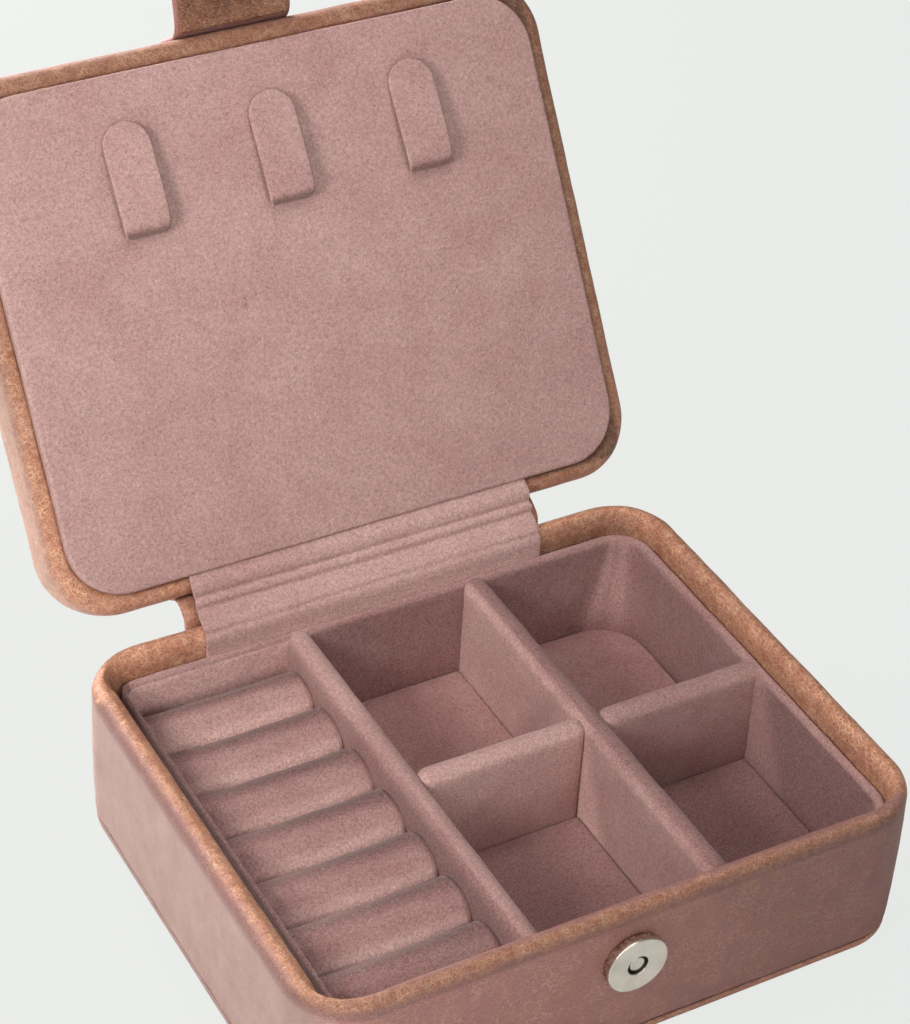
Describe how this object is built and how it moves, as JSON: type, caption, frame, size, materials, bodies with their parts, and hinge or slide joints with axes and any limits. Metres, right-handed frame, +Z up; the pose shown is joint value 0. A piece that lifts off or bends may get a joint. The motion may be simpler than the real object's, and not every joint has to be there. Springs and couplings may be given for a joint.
{
  "type": "travel jewelry case",
  "caption": "Small leather-covered jewelry case with ring rolls, divided cells, necklace hooks in a hinged lid and a magnetic snap strap.",
  "frame": {"origin": "middle of the base's underside, where the case stands", "axes": "+X right along the front edge, +Y back towards the spine, +Z up"},
  "size_m": [0.145, 0.1998, 0.1738],
  "materials": {
    "leather": "waxed, crackled, lighter and tan where it is stretched over rims",
    "strap_leather_inside": "darker inner face with fine creases",
    "velvet": "short-pile velvet suede",
    "board": "grey board",
    "foam": "light open foam",
    "nickel": "polished nickel",
    "magnet": "sintered",
    "washer_steel": "plated steel"
  },
  "bodies": {
    "base": {"bottom_cover": "leather", "bottom_card": "board", "base_leather": "leather", "base_wall_board": "board", "base_floor_board": "board", "snap_socket_case": "nickel", "snap_socket_magnet": "magnet", "snap_socket_washer": "washer_steel", "snap_socket_rivet": "nickel", "tray_liner": "velvet", "ring_divider": "velvet", "centre_divider": "velvet", "cross_divider_left": "velvet", "cross_divider_right": "velvet", "floor_pad_front_left": "velvet", "floor_pad_front_right": "velvet", "floor_pad_back_left": "velvet", "floor_pad_back_right": "velvet", "ring_bed": "board", "ring_roll_1": "velvet", "ring_roll_2": "velvet", "ring_roll_3": "velvet", "ring_roll_4": "velvet", "ring_roll_5": "velvet", "ring_roll_6": "velvet", "ring_roll_7": "velvet", "spine_base_tab": "leather", "spine_fold": "leather", "hinge_lining": "velvet"},
    "lid": {"lid_leather": "leather", "lid_wall_board": "board", "lid_top_board": "board", "lid_panel_cover": "velvet", "lid_panel_board": "board", "lid_foam": "foam", "hook_left": "velvet", "hook_middle": "velvet", "hook_right": "velvet", "spine_lid_tab": "leather", "strap_anchor": "leather"},
    "strap": {"strap_leather": "leather", "strap_lining": "strap_leather_inside", "snap_stud": "nickel", "snap_stud_washer": "washer_steel"}
  },
  "joints": [
    {"name": "lid_hinge", "type": "hinge", "parent": "base", "child": "lid", "pos_m": [0, 0.06185, 0.0407], "axis": [-1, 0, 0], "range_deg": [-123.1, 36.9], "deforming": ["spine_fold", "hinge_lining"]},
    {"name": "strap_fold", "type": "hinge", "parent": "lid", "child": "strap", "pos_m": [0, 0.12931, 0.14272], "axis": [-1, 0, 0], "range_deg": [-40, 60]}
  ]
}
